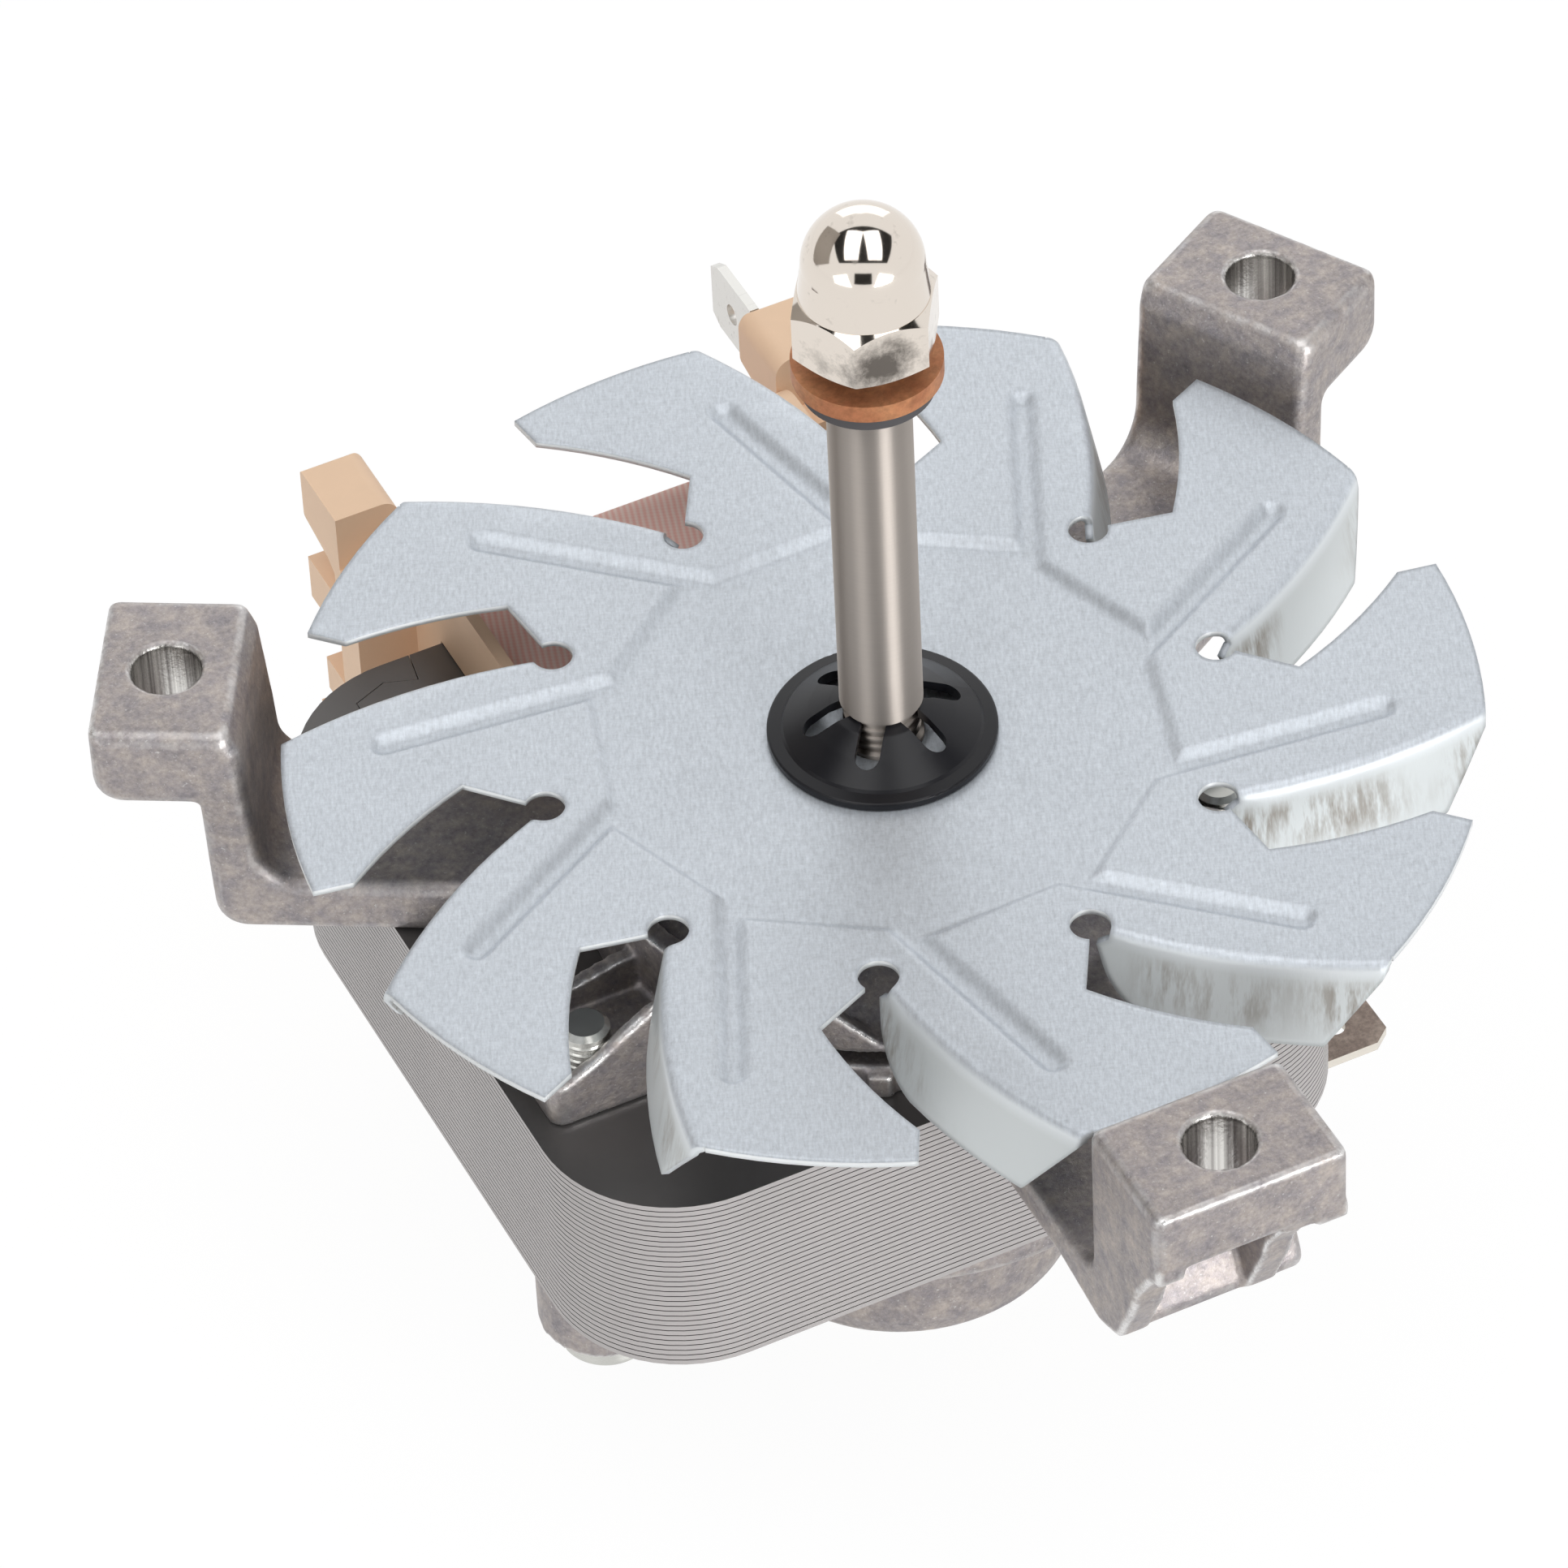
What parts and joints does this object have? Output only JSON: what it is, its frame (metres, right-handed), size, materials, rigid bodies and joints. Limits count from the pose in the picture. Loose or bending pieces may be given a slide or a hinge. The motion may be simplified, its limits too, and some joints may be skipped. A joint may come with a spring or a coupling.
{
  "type": "oven fan motor",
  "caption": "Shaded-pole oven fan motor with a cast bracket on mounting legs, a bladed cooling wheel and a long threaded output shaft with a domed nut.",
  "frame": {"origin": "on the shaft axis, in the plane of the three mounting pads", "axes": "+Z along the shaft towards the cap nut; -Y towards the single front leg; +Y towards the coil and terminals"},
  "size_m": [0.1096, 0.1205, 0.1037],
  "materials": {
    "cast_aluminium": "die-cast, mottled, worn bright on its edges",
    "laminations": "punched electrical steel, grey oxide on the face",
    "copper": "dull copper",
    "bobbin_plastic": "beige moulded plastic",
    "coil_tape": "salmon woven tape",
    "tinned_tab": "tin-plated",
    "zinc_screw": "bright zinc",
    "bearing_bronze": "sintered bronze",
    "spring_steel": "spring steel",
    "oil_felt": "oiled felt",
    "turned_steel": "turned steel",
    "cage_aluminium": "cast into the rotor",
    "fibre": "dark fibre",
    "galvanised_sheet": "galvanised, fine grain",
    "blackened_steel": "black, satin",
    "nickel_plate": "bright nickel plate"
  },
  "bodies": {
    "stator": {"front_bracket": "cast_aluminium", "rear_bracket": "cast_aluminium", "stator_stack": "laminations", "coil_core": "laminations", "shading_rings": "copper", "bobbin": "bobbin_plastic", "coil_winding": "copper", "coil_tape": "coil_tape", "upper_terminal": "tinned_tab", "lower_terminal": "tinned_tab", "earth_tab": "tinned_tab", "clamp_screws": "zinc_screw", "front_bearing": "bearing_bronze", "rear_bearing": "bearing_bronze", "front_retainer": "spring_steel", "rear_retainer": "spring_steel", "front_felt": "oil_felt", "rear_felt": "oil_felt"},
    "rotor": {"rotor_shaft": "turned_steel", "rotor_core": "laminations", "rotor_cage": "cage_aluminium", "rotor_spacers": "turned_steel", "thrust_washers": "fibre", "seat_ring": "spring_steel", "fan_seat": "turned_steel", "cooling_fan": "galvanised_sheet", "fan_clip": "blackened_steel", "thin_washer": "fibre", "copper_washer": "copper", "cap_nut": "nickel_plate"}
  },
  "joints": [
    {"name": "rotor_spin", "type": "hinge", "parent": "stator", "child": "rotor", "pos_m": [0, 0, 0], "axis": [0, 0, 1], "continuous": true}
  ]
}
